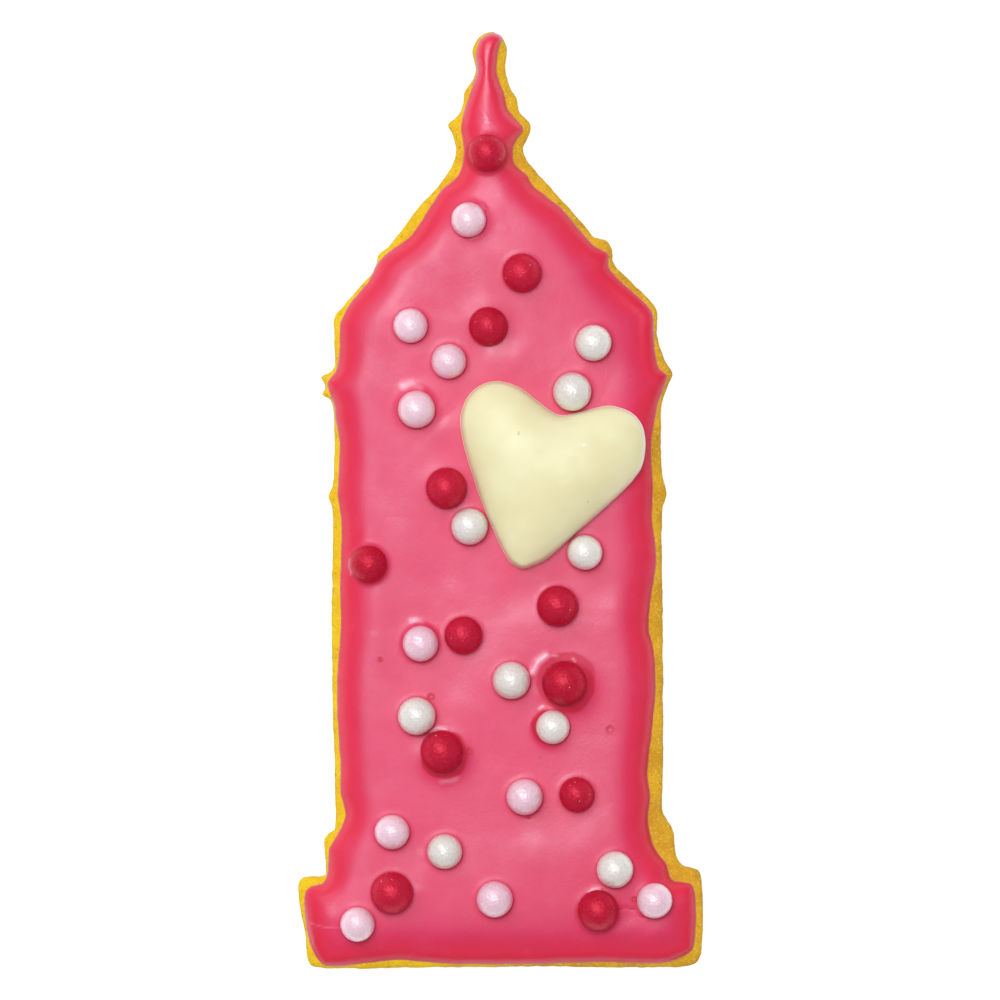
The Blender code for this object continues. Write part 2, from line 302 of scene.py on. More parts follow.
class Pearl:
    """Place and size of one CAD pearl."""

    def __init__(self, node):
        low, high = node_box(node)
        self.node = node
        self.centre = (low + high) / 2
        self.radius = (high[2] - low[2]) / 2
        self.seed = sum(map(ord, node))


def pearls_of(colour):
    names = sorted(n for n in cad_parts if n.startswith(f"pearl_{colour}_"))
    return [Pearl(name) for name in names]


PEARLS = {colour: pearls_of(colour) for colour in ("red", "pink", "white")}
ALL_PEARLS = [pearl for pearls in PEARLS.values() for pearl in pearls]
PEARL_DETAIL = 5
SHELL_WOBBLE = 0.022
SHELL_BUMPS = 0.007


def unit_ball():
    """Points and faces of a finely divided ball of radius 1."""
    bm = bmesh.new()
    bmesh.ops.create_icosphere(bm, subdivisions=PEARL_DETAIL, radius=1.0)
    points = np.array([vert.co for vert in bm.verts])
    faces = np.array([[vert.index for vert in face.verts] for face in bm.faces])
    bm.free()
    return points, faces


def make_pearls(colour, ball):
    """All pearls of one colour as one piece, each a slightly uneven sugar shell."""
    shape, faces = ball
    points, all_faces, shades = [], [], []
    for number, pearl in enumerate(PEARLS[colour]):
        shifted = shape + 7.0 * pearl.seed
        wobble = SHELL_WOBBLE * soft_noise(shifted, 1.3, 0.0)
        bumps = SHELL_BUMPS * soft_noise(shifted, 0.16, 0.0)
        radii = pearl.radius * (1.0 + wobble + bumps)
        points.append(pearl.centre + shape * radii[:, None])
        all_faces.append(faces + number * len(shape))
        shades.append(np.full(len(shape), (pearl.seed * 0.37) % 1.0))
    return make_piece(
        f"pearls_{colour}",
        np.vstack(points),
        np.vstack(all_faces).tolist(),
        f"pearl_{colour}",
        [pearl.node for pearl in PEARLS[colour]],
        180.0,
        shade=np.concatenate(shades),
    )


# ---------------------------------------------------------------- biscuit

BISCUIT_LOW, BISCUIT_HIGH = node_box("biscuit")
BISCUIT_TOP = BISCUIT_HIGH[2]
BISCUIT_EDGE_WIDTH = 0.9
BISCUIT_EDGE_DROP = 0.45
BISCUIT_HEEL = 0.35
WALL_ROWS = 15
CRUMB_LIFT = 0.03


def biscuit_top_height(depth):
    return BISCUIT_TOP - BISCUIT_EDGE_DROP * (1.0 - rounded(depth / BISCUIT_EDGE_WIDTH))


def make_biscuit():
    """Cut slab with a softly rounded upper edge, crumbly sides and a flat baked base."""
    outline = closed_curve(cad_outline("biscuit"), 0.3)
    outline -= inward_normals(outline) * (0.05 * soft_noise(outline, 0.9, 3.0))[:, None]
    count = len(outline)
    top, top_depth, top_faces = cover(outline, 0.8, (0.1, 0.22, 0.4, 0.65, 1.0, 1.4, 1.9, 2.5))
    base, base_depth, base_faces = cover(outline, 0.5, (0.12, 0.35, 0.7))
    top_z = biscuit_top_height(top_depth)
    base_z = BISCUIT_HEEL * (1.0 - rounded(base_depth / BISCUIT_HEEL))
    points = [np.column_stack((top, top_z))]
    levels = np.linspace(top_z[0], base_z[0], WALL_ROWS + 1)[1:-1]
    for level in levels:
        points.append(np.column_stack((outline, np.full(count, level))))
    points.append(np.column_stack((base, base_z)))
    starts = [0] + [len(top) + row * count for row in range(WALL_ROWS)]
    faces = list(top_faces)
    for upper, lower in zip(starts[:-1], starts[1:]):
        for i, j in loop_edges(count):
            faces.append((lower + i, lower + j, upper + j, upper + i))
    faces += [[starts[-1] + i for i in reversed(face)] for face in base_faces]
    points = np.vstack(points)
    depth = np.concatenate((top_depth, np.zeros(count * (WALL_ROWS - 1)), base_depth))
    height = points[:, 2]
    on_top = smoothstep(height, BISCUIT_TOP - 0.5, BISCUIT_TOP - 0.05)
    under = 1.0 - smoothstep(height, 0.02, 0.5)
    piece = make_piece("biscuit_crumb", points, faces, "biscuit", ["biscuit"], 60.0, depth=depth, under=under)
    roughen(piece, outline, 1.0 - 0.65 * on_top - 0.5 * under)
    return piece


def roughen(piece, outline, amount):
    """Pushes crumb relief into the slab: lumps, fine grain and small open pores."""
    mesh = piece.data
    count = len(mesh.vertices)
    points = np.empty(count * 3)
    mesh.vertices.foreach_get("co", points)
    points = points.reshape(-1, 3) / MM
    normals = np.array([normal.vector for normal in mesh.vertex_normals])
    lumps = 0.10 * soft_noise(points, 2.6, 0.0) + 0.06 * soft_noise(points + 40.0, 0.9, 0.0)
    grain = 0.03 * soft_noise(points + 80.0, 0.42, 0.0)
    pores = -0.16 * smoothstep(soft_noise(points + 120.0, 0.7, 0.0), 0.42, 0.75)
    push = (lumps + grain + pores + CRUMB_LIFT) * amount
    moved = points + normals * push[:, None]
    moved[:, 2] = np.clip(moved[:, 2], 0.0, BISCUIT_TOP)
    mesh.vertices.foreach_set("co", (moved * MM).ravel())
    # Keeps the pore depth, which the material uses to paint shade into the pores.
    add_layer(mesh, "pores", -pores * amount)
    mesh.update()


# ---------------------------------------------------------------- icing

ICING_TOP = node_box("icing")[1][2]
ICING_SINK = 0.05
GRID_STEP = 0.21
RIM_WIDTH = 6.0
RIM_POWER = 4.6
RIGHT_HALF = (5.0, 14.0)
RIGHT_ROOF = (15.0, 20.0)
RIGHT_ROOF_REACH = 9.0
SPIRE = (36.0, 42.0)
SPIRE_FOOT = 37.0
SPIRE_FALL = 0.03
CLIMB_LIMIT = 0.45
LEAN_REACH = 3.5
LEAN_GLOSS = 0.3
CONTACT_SHADOW_STRENGTH = 0.85
TO_LIGHT = np.array((-0.5, 0.866))


class Collar:
    """How the icing meets one pearl: how high it climbs and over what width, and which way
    the climb leans, as the direction in which it is highest."""

    def __init__(self, climb=0.1, width=0.35, lean=0.3, towards=(0.0, 1.0)):
        self.climb = climb
        self.width = width
        self.lean = lean
        self.towards = np.array(towards) / np.hypot(*towards)


COLLARS = {
    "pearl_red_01": Collar(0.16, 0.3, 0.1),
    "pearl_red_03": Collar(0.1, 1.3, 0.8, (-0.6, 1.0)),
    "pearl_red_04": Collar(0.12, 1.1, 0.7, (-0.1, 1.0)),
    "pearl_red_05": Collar(0.3, 0.3, 0.4, (-1.0, -0.2)),
    "pearl_red_08": Collar(0.3, 1.3, 1.0, (0.7, -0.7)),
    "pearl_red_09": Collar(0.28, 1.0, 1.0, (0.4, -0.9)),
    "pearl_red_12": Collar(0.2, 0.5, 0.4, (0.3, -0.95)),
    "pearl_white_07": Collar(0.2, 0.5, 0.9, (-0.9, 0.1)),
    "pearl_pink_01": Collar(0.14, 0.6, 0.6, (1.0, 1.0)),
    "pearl_pink_04": Collar(0.2, 0.6, 0.8, (-0.2, 1.0)),
    "pearl_pink_05": Collar(0.18, 0.4, 0.9, (-0.2, 1.0)),
}

# Places where the set surface leans towards the light: path, radius and slope.
LEANS = (
    (((-2.9, 21.6),), 1.9, 0.05),
    (((-1.0, 16.8), (1.2, 16.8)), 1.8, 0.10),
    (((-7.4, 9.6), (-6.6, 8.8)), 1.5, 0.11),
    (((-13.0, 22.5), (-10.8, 27.5), (-7.6, 32.0)), 2.6, 0.03),
    (((-14.4, -9.6), (-14.4, -14.5)), 0.9, 0.10),
    (((17.2, -47.2),), 1.9, 0.14),
    (((12.6, -47.6), (14.6, -46.8)), 1.3, 0.10),
    (((-9.4, -42.6), (-8.6, -39.4)), 1.3, 0.11),
    (((13.0, -26.0), (12.5, -12.0)), 3.8, 0.045),
    (((2.0, -13.0), (5.0, -12.0)), 3.2, 0.04),
    (((-4.5, -21.0), (-1.5, -17.0)), 3.2, 0.045),
    (((4.0, -37.5), (9.0, -37.0)), 3.2, 0.05),
    (((-5.0, -9.0), (-3.0, -4.0)), 3.0, 0.025),
    (((9.0, 14.5), (12.0, 13.0)), 2.2, 0.05),
    (((-20.3, -45.4), (-18.4, -45.9)), 1.3, 0.15),
    (((-1.6, 32.6), (-0.6, 34.2)), 1.7, 0.11),
    (((-10.5, 4.0), (-11.0, -2.0)), 2.7, 0.03),
    (((9.5, -33.0), (12.0, -14.0)), 8.0, 0.03),
    (((-4.0, -14.0), (-3.0, -37.0)), 7.0, 0.02),
    (((-1.0, 29.5),), 5.0, 0.035),
)

# Dye that ran from the red pearls into the icing: centre, radius and strength.
STAINS = (
    (7.3, -20.1, 3.45, 0.6),
    (7.6, -20.7, 3.0, 1.0),
    (-6.3, -28.35, 2.8, 1.0),
    (-14.7, -7.2, 2.4, 0.6),
    (-1.5, 38.3, 2.5, 0.7),
    (5.25, -25.2, 2.0, 1.0),
    (10.6, -46.0, 2.55, 0.5),
    (-8.9, -16.1, 2.3, 0.5),
)

# Thin ridges of icing that shine: path, width, height, and how strongly a pale painted highlight is laid
# along them.
RIDGES = (
    (((3.6, -19.2), (4.1, -18.1), (5.1, -17.3)), 0.4, 0.12, 0.8),
    (((5.5, -17.3), (6.3, -17.35)), 0.16, 0.05, 0.5),
    (((8.0, -17.6), (8.25, -17.9)), 0.16, 0.05, 0.6),
    (((-7.7, -25.7), (-6.9, -25.4), (-6.1, -25.55)), 0.2, 0.06, 0.8),
    (((-6.6, -31.3), (-5.5, -31.2), (-4.9, -31.0)), 0.35, 0.04, 0.45),
    (((9.7, -43.6), (10.3, -43.2), (11.0, -43.2)), 0.17, 0.05, 0.7),
    (((-10.9, 12.6), (-9.8, 12.9), (-8.9, 12.5)), 0.5, 0.05, 0.5),
    (((-10.0, -13.4), (-9.3, -13.3), (-8.7, -13.5)), 0.3, 0.04, 0.5),
    (((4.2, -23.2), (4.6, -22.9)), 0.17, 0.05, 0.8),
    (((-16.75, -6.5), (-16.85, -7.3), (-16.6, -8.2)), 0.15, 0.03, 0.6),
    (((-2.1, 32.9), (-1.8, 32.4)), 0.18, 0.04, 0.35),
    (((-3.3, 29.0), (-2.5, 29.3)), 0.18, 0.04, 0.35),
    (((-21.3, -47.0), (-19.5, -47.5), (-17.8, -47.6)), 0.11, 0.04, 0.4),
    (((-22.0, -43.6), (-21.6, -46.5), (-20.8, -49.6)), 0.14, 0.03, 0.3),
    (((-2.2, 43.2), (-1.3, 42.2)), 0.12, 0.03, 0.25),
    (((-1.9, 42.0), (-0.9, 41.9)), 0.12, 0.03, 0.25),
)

# Dark cracks: path, width and depth.
CRACKS = (
    (((12.95, -45.6), (13.4, -45.35), (13.95, -45.25), (14.9, -45.5)), 0.12, 0.07),
    (((15.5, -46.1), (15.85, -46.35)), 0.16, 0.07),
    (((2.7, -35.2), (3.3, -35.4)), 0.14, 0.05),
)

# Burst bubbles: centre and radius.
BUBBLES = (
    (-7.75, -21.85, 0.32),
    (-3.5, -27.95, 0.32),
    (12.1, -25.45, 0.36),
    (14.8, -44.35, 0.25),
    (-13.4, -17.7, 0.2),
)

# Dark specks.
SPECKS = (
    (-0.5, 34.1),
    (4.05, 20.8),
    (15.4, 20.9),
    (14.3, 13.8),
    (-16.6, -3.5),
    (-11.4, -17.3),
    (4.3, -28.6),
    (-2.6, -29.1),
)


def pearl_relief(points):
    """Rise of the icing where it climbs up each pearl, and a dark line painted at its foot as contact shadow,
    heavier on the side away from the light.
    """
    rise = np.zeros(len(points))
    painted_contact_shadow = np.zeros(len(points))
    for pearl in ALL_PEARLS:
        collar = COLLARS.get(pearl.node, Collar())
        offsets = points - pearl.centre[:2]
        reach = np.linalg.norm(offsets, axis=1)
        near = reach < pearl.radius + 5.0 * collar.width
        waist = pearl.centre[2] - ICING_TOP
        contact = math.sqrt(pearl.radius**2 - waist**2)
        gap = np.maximum(reach[near] - contact, 0.0)
        facing = (offsets[near] @ collar.towards) / np.maximum(reach[near], 1e-6)
        climb = collar.climb * (1.0 + collar.lean * facing)
        rise[near] += climb * np.exp(-((gap / collar.width) ** 1.5))
        # Painted contact shadow: stronger on the side of each pearl away from the light.
        away_from_light = 0.75 - 0.25 * (offsets[near] @ TO_LIGHT) / np.maximum(reach[near], 1e-6)
        line = np.exp(-((np.maximum(reach[near] - pearl.radius, 0.0) / 0.16) ** 2))
        painted_contact_shadow[near] = np.maximum(painted_contact_shadow[near], line * away_from_light)
    return rise, painted_contact_shadow


def surface_marks(points):
    """Relief, dye with painted shade, painted highlight and gloss of the small features in the set icing."""
    relief, pale, gloss, stain = (np.zeros(len(points)) for _ in range(4))
    for path, radius, slope in LEANS:
        offsets = points - nearest_on(points, path)
        gaps = np.linalg.norm(offsets, axis=1) / radius
        fade = np.exp(-((gaps / LEAN_REACH) ** 2)) / (1.0 + gaps**2)
        relief -= slope * (offsets @ TO_LIGHT) * fade
        gloss = np.maximum(gloss, LEAN_GLOSS * np.exp(-(gaps**2)))
    for x, y, radius, strength in STAINS:
        reach = np.linalg.norm(points - np.array((x, y)), axis=1)
        reach += 0.25 * soft_noise(points, 1.6, x)
        stain = np.maximum(stain, strength * (1.0 - smoothstep(reach, radius - 0.35, radius + 0.15)))
    for path, width, height, paleness in RIDGES:
        weight = stroke(points, path, width)
        relief += height * weight
        pale = np.maximum(pale, paleness * weight)
        gloss = np.maximum(gloss, weight)
    for path, width, depth in CRACKS:
        weight = stroke(points, path, width)
        relief -= depth * weight
        # Painted shade: the crack's line is also darkened in colour, as shade falls in the groove.
        stain = np.maximum(stain, 0.9 * weight)
    for x, y, radius in BUBBLES:
        reach = np.linalg.norm(points - np.array((x, y)), axis=1)
        rim = np.exp(-(((reach - radius) / 0.15) ** 2))
        relief += 0.03 * rim - 0.05 * blob(points, (x, y), radius)
        stain = np.maximum(stain, rim)
        gloss = np.maximum(gloss, rim)
    return relief, stain, pale, gloss


def icing_body(points, depth, outline, bed):
    """Height of the poured icing over its bed, and how far it is lower or higher than that
    where it is free of the rim: waves, the slumped right roof and the slumped foot."""
    x, y = points.T
    roof = blob(points, RIGHT_ROOF, RIGHT_ROOF_REACH)
    wide = RIM_WIDTH + 0.6 * smoothstep(x, *RIGHT_HALF) + 1.0 * roof
    wide += 0.6 * soft_noise(points, 9.0, 5.0) - 1.9 * smoothstep(y, *SPIRE)
    share = np.clip(soft_depth(points, depth, outline, 3) / wide, 0.0, 1.0)
    height = bed + (ICING_TOP - bed) * (1.0 - (1.0 - share) ** RIM_POWER)
    slump = (0.08 + 0.55 * roof) * np.exp(-((depth / (3.4 + 4.0 * roof)) ** 1.3))
    slump += 0.5 * np.exp(-(((y - outline[:, 1].min()) / 4.4) ** 1.8))
    waves = 0.10 * soft_noise(points, 15.0, 1.0) + 0.035 * soft_noise(points, 5.0, 2.0)
    return height, waves - slump


def make_icing():
    """Flooded icing: rounded rim, soft waves, collars round the pearls and the small creases
    and bubbles of set sugar."""
    outline = closed_curve(cad_outline("icing"), 0.25)
    wander = 0.05 * soft_noise(outline, 1.3, 9.0) + 0.03 * soft_noise(outline, 0.5, 4.0)
    outline -= inward_normals(outline) * wander[:, None]
    points, depth, faces = cover(outline, GRID_STEP, (0.03, 0.08, 0.16, 0.28, 0.44))
    crumb_edge = closed_curve(cad_outline("biscuit"), 0.6)
    bed = biscuit_top_height(np.maximum(depth_inside(points, crumb_edge), 0.0)) - ICING_SINK
    height, undulation = icing_body(points, depth, outline, bed)
    rise, painted_contact_shadow = pearl_relief(points)
    relief, stain, pale, gloss = surface_marks(points)
    calm = smoothstep(depth, 0.3, 2.0)
    height += calm * (undulation + rise) + smoothstep(depth, 0.1, 0.6) * relief
    x, y = points.T
    # The painted contact shadow goes into the same layer as the dye.
    stain = np.maximum(stain, CONTACT_SHADOW_STRENGTH * painted_contact_shadow)
    gloss = np.maximum(gloss, 0.35 * smoothstep(y, *SPIRE))
    # Painted shade: the rim band on the right and at the foot, which faces away from the light, is darkened
    # in colour.
    shaded_side = np.maximum(smoothstep(x, -2.0, 12.0), 1.0 - smoothstep(y, -48.0, -42.0))
    deep = 0.85 * shaded_side * np.exp(-((depth / 1.5) ** 2))
    height[: len(outline)] = bed[: len(outline)]
    height = np.minimum(height, ICING_TOP + CLIMB_LIMIT)
    height -= SPIRE_FALL * calm * np.maximum(y - SPIRE_FOOT, 0.0)
    base = triangulate(outline, loop_edges(len(outline)))[:, ::-1]
    return make_piece(
        "icing_flood",
        np.column_stack((points, height)),
        faces + base.tolist(),
        "icing",
        ["icing"],
        55.0,
        depth=depth,
        deep=deep,
        stain=stain,
        pale=pale,
        gloss=gloss,
        speck=at_points(points, SPECKS),
    )


# ---------------------------------------------------------------- heart

HEART_TOP = node_box("heart")[1][2]
HEART_FOOT = 0.55
HEART_SINK = 0.35
FLANGE_WIDTH = 0.08
EDGE_POWER = 0.2
PILLOW_POWER = 0.9
EDGE_SHARE = 0.6
HEART_PITS = ((2.07, 7.43), (2.0, 7.2), (9.77, -0.1))
HEART_FLECKS = ((9.16, 5.99), (9.3, 6.1))
HEART_CREASES = (
    ((6.2, 2.6), (6.9, 2.2), (7.6, 2.5)),
    ((7.6, 4.3), (8.3, 4.5), (8.9, 4.2)),
    ((8.8, 5.9), (9.4, 6.05)),
)


def make_heart():
    """Moulded candy heart: flat base with a thin flange and a smooth pillow on top."""
    outline = closed_curve(cad_outline("heart"), 0.2)
    outline -= inward_normals(outline) * (0.03 * soft_noise(outline, 1.1, 5.0))[:, None]
    points, depth, faces = cover(outline, 0.24, (0.04, 0.1, 0.16, 0.24, 0.36, 0.52))
    pillow = np.maximum(soft_depth(points, depth, outline, 1) - FLANGE_WIDTH, 0.0)
    share = pillow / pillow.max()
    dome = EDGE_SHARE * share**EDGE_POWER + (1.0 - EDGE_SHARE) * share**PILLOW_POWER
    foot_level = ICING_TOP - HEART_SINK + HEART_FOOT
    height = foot_level + (HEART_TOP - foot_level) * dome
    height += 0.05 * soft_noise(points, 4.0, 6.0) * smoothstep(depth, 0.5, 2.5)
    for path in HEART_CREASES:
        height -= 0.06 * stroke(points, path, 0.2)
    height = np.minimum(height, HEART_TOP)
    base_level = ICING_TOP - HEART_SINK
    count = len(outline)
    under = np.column_stack((outline, np.full(count, base_level)))
    solid = np.vstack((np.column_stack((points, height)), under))
    start = len(points)
    sides = [(start + i, start + j, j, i) for i, j in loop_edges(count)]
    base = triangulate(outline, loop_edges(count))[:, ::-1] + start
    on_lobe = 0.15 + 0.85 * blob(points, (15.2, 6.5), 5.0)
    flange = np.maximum(on_lobe * (1.0 - smoothstep(depth, 0.1, 0.3)), at_points(points, HEART_FLECKS))
    flange = np.concatenate((flange, np.zeros(count)))
    # The pits have no hollow in the mesh; only their shade is painted, as dark dots.
    pits = np.concatenate((at_points(points, HEART_PITS), np.zeros(count)))
    return make_piece(
        "candy_heart",
        solid,
        faces + sides + base.tolist(),
        "heart",
        ["heart"],
        60.0,
        flange=flange,
        pits=pits,
    )


# ---------------------------------------------------------------- materials


def srgb(red, green, blue):
    """Linear colour of an 8-bit screen colour."""
    channels = (value / 255.0 for value in (red, green, blue))
    linear = [v / 12.92 if v <= 0.04045 else ((v + 0.055) / 1.055) ** 2.4 for v in channels]
    return (*linear, 1.0)


class Material:
    """A Principled material and short calls that add nodes to it."""

    def __init__(self, name, **settings):
        self.material = bpy.data.materials.new(name)
        self.material.use_nodes = True
        self.nodes = self.material.node_tree.nodes
        self.links = self.material.node_tree.links
        self.shader = self.nodes["Principled BSDF"]
        for socket, value in settings.items():
            self.shader.inputs[socket.replace("_", " ")].default_value = value
        self.where = self.nodes.new("ShaderNodeTexCoord").outputs["Object"]

    def noise(self, size, detail=2.0, roughness=0.5):
        """Noise from 0 to 1 whose bumps are about size across."""
        node = self.nodes.new("ShaderNodeTexNoise")
        node.inputs["Scale"].default_value = 1.0 / (size * MM)
        node.inputs["Detail"].default_value = detail
        node.inputs["Roughness"].default_value = roughness
        self.links.new(self.where, node.inputs["Vector"])
        return node.outputs["Fac"]

    def cells(self, size):
        """Distance from the middle of cells about size across, and a random value per cell."""
        node = self.nodes.new("ShaderNodeTexVoronoi")
        node.inputs["Scale"].default_value = 1.0 / (size * MM)
        self.links.new(self.where, node.inputs["Vector"])
        apart = self.nodes.new("ShaderNodeSeparateColor")
        self.links.new(node.outputs["Color"], apart.inputs["Color"])
        return node.outputs["Distance"], apart.outputs["Red"]

    def along(self, axis):
        """Position along an axis, in metres."""
        node = self.nodes.new("ShaderNodeSeparateXYZ")
        self.links.new(self.where, node.inputs["Vector"])
        return node.outputs[axis]

    def layer(self, name):
        node = self.nodes.new("ShaderNodeAttribute")
        node.attribute_name = name
        return node.outputs["Fac"]

    def ramp(self, value, low, high, start=0.0, end=1.0):
        """Maps low..high of a value to start..end, smoothly and clamped."""
        node = self.nodes.new("ShaderNodeMapRange")
        node.interpolation_type = "SMOOTHSTEP"
        self.links.new(value, node.inputs["Value"])
        for socket, number in (("From Min", low), ("From Max", high), ("To Min", start), ("To Max", end)):
            node.inputs[socket].default_value = number
        return node.outputs["Result"]

    def mix(self, factor, first, second):
        """Colour between first and second, each a colour or another node's output."""
        node = self.nodes.new("ShaderNodeMix")
        node.data_type = "RGBA"
        self.links.new(factor, node.inputs["Factor"])
        for socket, colour in (("A", first), ("B", second)):
            target = next(s for s in node.inputs if s.name == socket and s.type == "RGBA")
            if isinstance(colour, tuple):
                target.default_value = colour
            else:
                self.links.new(colour, target)
        return next(s for s in node.outputs if s.type == "RGBA")

    def maths(self, operation, first, second):
        node = self.nodes.new("ShaderNodeMath")
        node.operation = operation
        for socket, value in zip(node.inputs, (first, second)):
            if isinstance(value, float):
                socket.default_value = value
            else:
                self.links.new(value, socket)
        return node.outputs["Value"]

    def feed(self, output, socket):
        self.links.new(output, self.shader.inputs[socket])

    def bump(self, heights, distance):
        """Fine relief; heights lists (value, strength) pairs."""
        total = None
        for value, strength in heights:
            scaled = self.maths("MULTIPLY", value, strength)
            total = scaled if total is None else self.maths("ADD", total, scaled)
        node = self.nodes.new("ShaderNodeBump")
        node.inputs["Distance"].default_value = distance * MM
        self.links.new(total, node.inputs["Height"])
        self.feed(node.outputs["Normal"], "Normal")
        return node.outputs["Normal"]


def biscuit_material():
    m = Material("biscuit_crumb", Roughness=0.8, Specular_IOR_Level=0.3)
    # Painted light and shade: the yellow is lighter and cleaner on the left and duller ochre on the right, as
    # the light falls from the left.
    side = m.ramp(m.along("X"), -0.016, 0.012)
    bright = m.mix(side, srgb(248, 208, 26), srgb(230, 178, 38))
    dull = m.mix(side, srgb(240, 192, 22), srgb(213, 156, 34))
    golden = m.mix(m.ramp(m.noise(3.0), 0.35, 0.65), bright, dull)
    grain = m.mix(m.ramp(m.noise(0.3, 3.0), 0.52, 0.7, 0.0, 0.5), golden, srgb(250, 220, 100))
    specks = m.mix(m.ramp(m.noise(0.4, 2.0), 0.6, 0.74, 0.0, 0.6), grain, srgb(188, 124, 34))
    # Painted shade: the pores are darkened in colour, as shade falls in the hollows.
    pores = m.mix(m.ramp(m.layer("pores"), 0.0, 0.12, 0.0, 0.7), specks, srgb(190, 130, 34))
    baked = m.mix(m.ramp(m.layer("under"), 0.2, 1.0, 0.0, 0.75), pores, srgb(196, 134, 44))
    m.feed(baked, "Base Color")
    m.feed(m.ramp(m.noise(0.6), 0.3, 0.7, 0.7, 0.95), "Roughness")
    m.bump(((m.noise(0.25, 4.0, 0.6), 1.0), (m.noise(1.2, 3.0), 1.0)), 0.14)
    return m.material


def icing_material():
    m = Material("icing_flood", Specular_IOR_Level=0.55, Subsurface_Weight=0.1, Subsurface_Scale=0.0015)
    m.shader.inputs["Subsurface Radius"].default_value = (1.0, 0.25, 0.35)
    m.shader.inputs["Specular Tint"].default_value = (0.85, 0.88, 1.0, 1.0)
    inner = m.mix(m.ramp(m.noise(14.0), 0.35, 0.65), srgb(226, 50, 98), srgb(222, 46, 93))
    warm = m.mix(m.ramp(m.layer("depth"), 0.8, 3.6), srgb(233, 46, 78), inner)
    # Painted shade on the rim band that faces away from the light.
    deep = m.mix(m.layer("deep"), warm, srgb(224, 26, 64))
    cloudy = m.mix(m.ramp(m.noise(2.2, 3.0), 0.5, 0.8, 0.0, 0.2), deep, srgb(234, 80, 122))
    # Real dye from the red pearls, and in the same layer the painted contact shadow at the pearls' feet and
    # the painted shade in the cracks.
    stained = m.mix(m.ramp(m.layer("stain"), 0.0, 1.0, 0.0, 0.92), cloudy, srgb(200, 5, 52))
    # Painted highlight: pale pink laid along the shining ridges.
    pale = m.mix(m.ramp(m.layer("pale"), 0.0, 1.0, 0.0, 0.75), stained, srgb(250, 182, 202))
    specks = m.mix(m.ramp(m.layer("speck"), 0.3, 1.0, 0.0, 0.8), pale, srgb(130, 24, 50))
    thin = m.mix(m.ramp(m.layer("depth"), 0.02, 0.22, 0.8, 0.0), specks, srgb(204, 146, 156))
    m.feed(thin, "Base Color")
    matt = m.ramp(m.noise(3.0, 3.0), 0.3, 0.7, 0.33, 0.42)
    polished = m.maths("SUBTRACT", matt, m.ramp(m.layer("gloss"), 0.0, 1.0, 0.0, 0.2))
    m.feed(m.maths("ADD", polished, m.ramp(m.layer("stain"), 0.0, 1.0, 0.0, 0.35)), "Roughness")
    grain = m.noise(0.2, 2.0)
    ripples = m.noise(1.4, 2.0)
    m.bump(((grain, 0.4), (ripples, 0.5)), 0.03)
    return m.material


def heart_material():
    m = Material("candy_heart", Specular_IOR_Level=0.4, Subsurface_Weight=0.15, Subsurface_Scale=0.002)
    m.shader.inputs["Subsurface Radius"].default_value = (1.0, 0.8, 0.45)
    cream = m.mix(m.ramp(m.noise(5.0), 0.35, 0.65), srgb(242, 236, 194), srgb(237, 229, 183))
    white = m.mix(m.layer("flange"), cream, srgb(255, 252, 245))
    # Painted shade: small dark dots at the pits.
    pitted = m.mix(m.ramp(m.layer("pits"), 0.2, 1.0, 0.0, 0.5), white, srgb(170, 160, 90))
    m.feed(pitted, "Base Color")
    m.feed(m.ramp(m.noise(2.0, 3.0), 0.3, 0.7, 0.36, 0.5), "Roughness")
    m.bump(((m.noise(0.5, 3.0), 0.4), (m.noise(2.5, 2.0), 1.0)), 0.03)
    return m.material


SATIN = {
    "roughness": 0.45,
    "metal": 0.22,
    "tint": (1.0, 0.5, 0.55, 1.0),
    "coat": 0.1,
    "coat_ior": 1.5,
    "glint": 0.9,
}
PEARLY = {
    "roughness": 0.3,
    "metal": 0.0,
    "tint": (1.0, 1.0, 1.0, 1.0),
    "coat": 1.0,
    "coat_ior": 1.85,
    "glint": 0.4,
}


def pearl_material(colour, dark, light, look):
    """Sugar shell: fine pearly grain under a gloss coat, with painted shade between the grains and a few
    near-white spots painted into the colour as glints.
    """
    m = Material(f"pearl_{colour}", Roughness=look["roughness"], Metallic=look["metal"])
    m.shader.inputs["Specular Tint"].default_value = look["tint"]
    m.shader.inputs["Coat Weight"].default_value = look["coat"]
    m.shader.inputs["Coat Roughness"].default_value = 0.07
    m.shader.inputs["Coat IOR"].default_value = look["coat_ior"]
    varied = m.mix(m.ramp(m.layer("shade"), 0.0, 1.0, 0.0, 0.35), dark, light)
    grains, _ = m.cells(0.32)
    # Painted shade: the colour is lighter on the grain tops and darker between the grains.
    painted_grain_shade = m.mix(m.ramp(grains, 0.1, 0.5, 0.75, 0.0), varied, light)
    patchy = m.mix(m.ramp(m.noise(0.8, 3.0), 0.4, 0.7, 0.0, 0.6), painted_grain_shade, varied)
    distance, chance = m.cells(0.55)
    # Painted highlight: a few small near-white spots laid into the colour as glints.
    painted_glint = m.maths("MULTIPLY", m.ramp(distance, 0.06, 0.13, 1.0, 0.0), m.ramp(chance, 0.8, 0.82))
    m.feed(m.mix(m.maths("MULTIPLY", painted_glint, look["glint"]), patchy, srgb(255, 240, 240)), "Base Color")
    relief = m.bump(((grains, -1.0), (m.noise(0.25, 3.0), 0.8), (m.noise(0.9, 2.0), 1.0)), 0.045)
    m.feed(relief, "Coat Normal")
    return m.material


# ---------------------------------------------------------------- studio

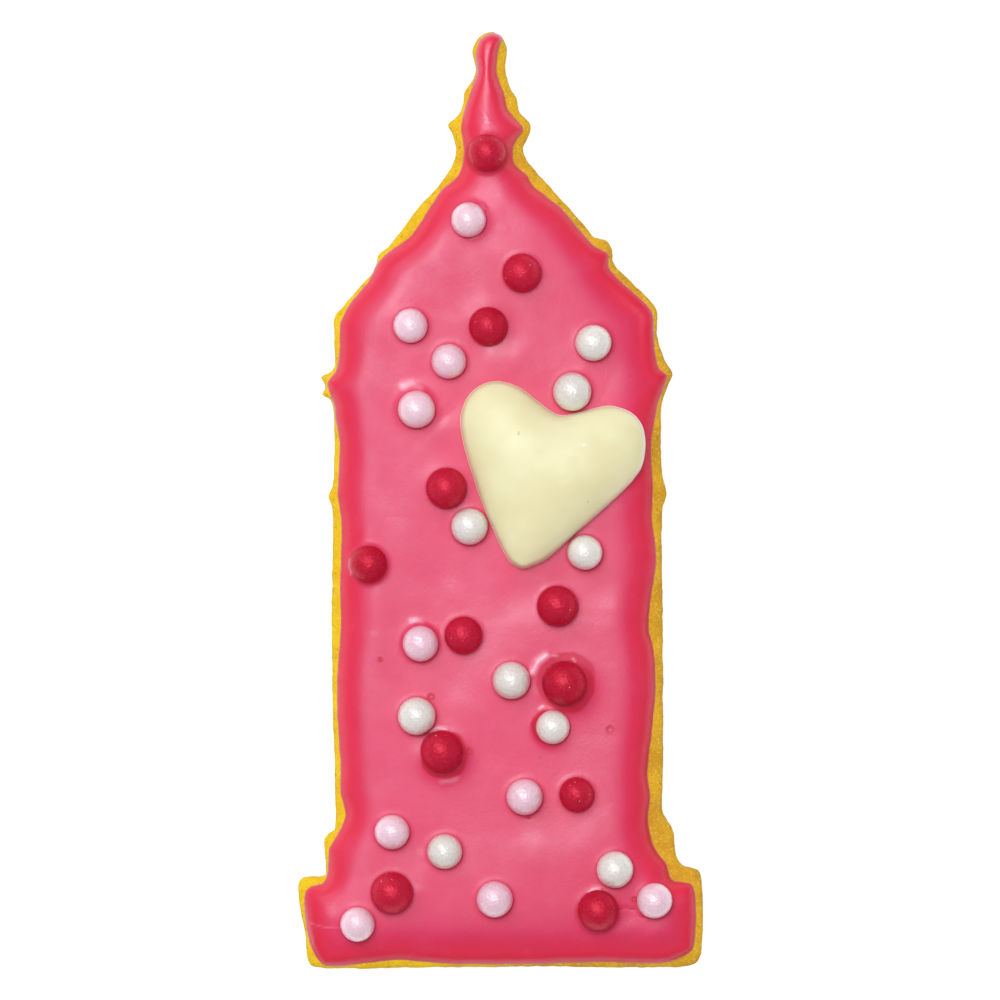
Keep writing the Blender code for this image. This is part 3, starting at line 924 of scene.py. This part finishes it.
LAMP_DISTANCE = 1.0
WORLD = 0.33
LIGHTS = (
    ("ceiling", (-0.06, 0.10, 1.0), 25.0, 1.24),
    ("softbox", (-0.12, 0.20, 1.0), 11.0, 3.1),
    ("bulb", (-0.12, 0.20, 1.0), 6.5, 17.2),
    ("side", (-0.55, 0.75, 1.0), 18.0, 1.8),
)
FLOOR_GAP = 0.1
VIEW_WIDTH = 111.1
VIEW_MIDDLE = (-0.09, 0.02)
CAMERA_HEIGHT = 1500.0
SENSOR = 36.0


def soft_light(name, direction, half_angle, radiance):
    """Round light of even radiance, seen from the cookie within half_angle of a direction."""
    radius = LAMP_DISTANCE * math.tan(math.radians(half_angle))
    lamp = bpy.data.lights.new(name, "AREA")
    lamp.shape = "DISK"
    lamp.size = 2.0 * radius
    lamp.energy = radiance * math.pi**2 * radius**2
    light = bpy.data.objects.new(name, lamp)
    away = Vector(direction).normalized()
    light.location = away * LAMP_DISTANCE
    light.rotation_euler = away.to_track_quat("Z", "Y").to_euler()
    bpy.context.scene.collection.objects.link(light)


def make_studio():
    scene = bpy.context.scene
    scene.view_settings.view_transform = "Standard"
    world = bpy.data.worlds.new("studio")
    world.use_nodes = True
    world.node_tree.nodes["Background"].inputs["Color"].default_value = (1.0, 1.0, 1.0, 1.0)
    world.node_tree.nodes["Background"].inputs["Strength"].default_value = WORLD
    scene.world = world
    for name, direction, half_angle, radiance in LIGHTS:
        soft_light(name, direction, half_angle, radiance)
    bm = bmesh.new()
    bmesh.ops.create_grid(bm, x_segments=1, y_segments=1, size=2.0)
    mesh = bpy.data.meshes.new("floor")
    bm.to_mesh(mesh)
    bm.free()
    floor = bpy.data.objects.new("floor", mesh)
    floor.location.z = -FLOOR_GAP * MM
    scene.collection.objects.link(floor)
    m = Material("floor", Roughness=0.9, Specular_IOR_Level=0.0)
    m.shader.inputs["Base Color"].default_value = (0.25, 0.25, 0.25, 1.0)
    m.shader.inputs["Emission Color"].default_value = (1.0, 1.0, 1.0, 1.0)
    m.shader.inputs["Emission Strength"].default_value = 0.92
    mesh.materials.append(m.material)


def make_camera():
    level = ICING_TOP
    camera = bpy.data.objects.new("camera", bpy.data.cameras.new("camera"))
    camera.data.sensor_width = SENSOR
    camera.data.lens = SENSOR * (CAMERA_HEIGHT - level) / VIEW_WIDTH
    camera.data.clip_start = 0.1
    camera.data.clip_end = 10.0
    camera.location = Vector((*VIEW_MIDDLE, CAMERA_HEIGHT)) * MM
    bpy.context.scene.collection.objects.link(camera)
    bpy.context.scene.camera = camera


def main():
    make_camera()
    make_studio()
    make_biscuit().data.materials.append(biscuit_material())
    make_icing().data.materials.append(icing_material())
    make_heart().data.materials.append(heart_material())
    ball = unit_ball()
    for colour, dark, light, look in (
        ("red", srgb(196, 14, 52), srgb(220, 34, 72), SATIN),
        ("pink", srgb(248, 202, 221), srgb(254, 228, 238), PEARLY),
        ("white", srgb(232, 226, 220), srgb(249, 246, 243), PEARLY),
    ):
        make_pearls(colour, ball).data.materials.append(pearl_material(colour, dark, light, look))


main()
